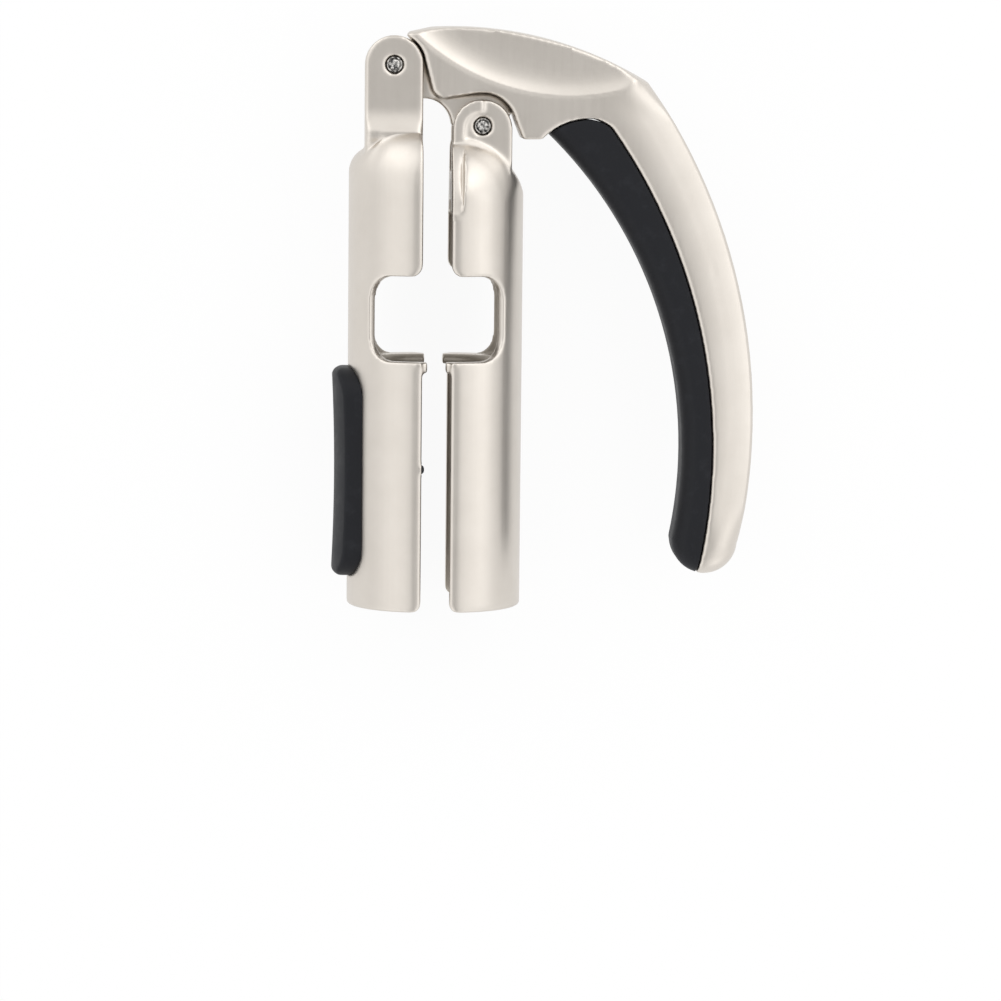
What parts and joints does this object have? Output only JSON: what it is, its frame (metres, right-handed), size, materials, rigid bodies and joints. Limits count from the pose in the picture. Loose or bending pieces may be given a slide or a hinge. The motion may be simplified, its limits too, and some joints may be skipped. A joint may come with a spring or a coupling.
{
  "type": "champagne opener",
  "caption": "Lever champagne opener with two half-tube jaws that close round a bottle neck and slide past each other when the curved, rubber-gripped lever is swung.",
  "frame": {"origin": "on the bore axis of the fixed jaw, at its mouth, in the mid-plane between front and back", "axes": "+Y up the bottle neck from the mouth to the pivots, +X from the palm pad towards the lever, +Z along the pivot pins, upwards as the opener lies on its side"},
  "size_m": [0.1016, 0.1395, 0.0364],
  "materials": {
    "satin_nickel": "die-cast zinc, brushed and satin nickel plated",
    "rubber": "matt soft moulded rubber",
    "pin_steel": "bright steel rivet with rolled ends"
  },
  "bodies": {
    "fixed_side": {"fixed_jaw": "satin_nickel", "palm_pad": "rubber", "closing_bumpers": "rubber", "fixed_pivot_pin": "pin_steel"},
    "lever_arm": {"lever": "satin_nickel", "lever_grip": "rubber"},
    "sliding_side": {"sliding_jaw": "satin_nickel", "sliding_pivot_pin": "pin_steel"}
  },
  "joints": [
    {"name": "lever_pivot", "type": "hinge", "parent": "fixed_side", "child": "lever_arm", "pos_m": [-0.0075, 0.1302, 0], "axis": [0, 0, 1], "range_deg": [-14, 70]},
    {"name": "sliding_jaw_pivot", "type": "hinge", "parent": "lever_arm", "child": "sliding_side", "pos_m": [0.0136, 0.1158, 0], "axis": [0, 0, 1], "range_deg": [-70, 14]}
  ],
  "couplings": [
    {"joint": "sliding_jaw_pivot", "follows": "lever_pivot", "ratio": -1}
  ]
}
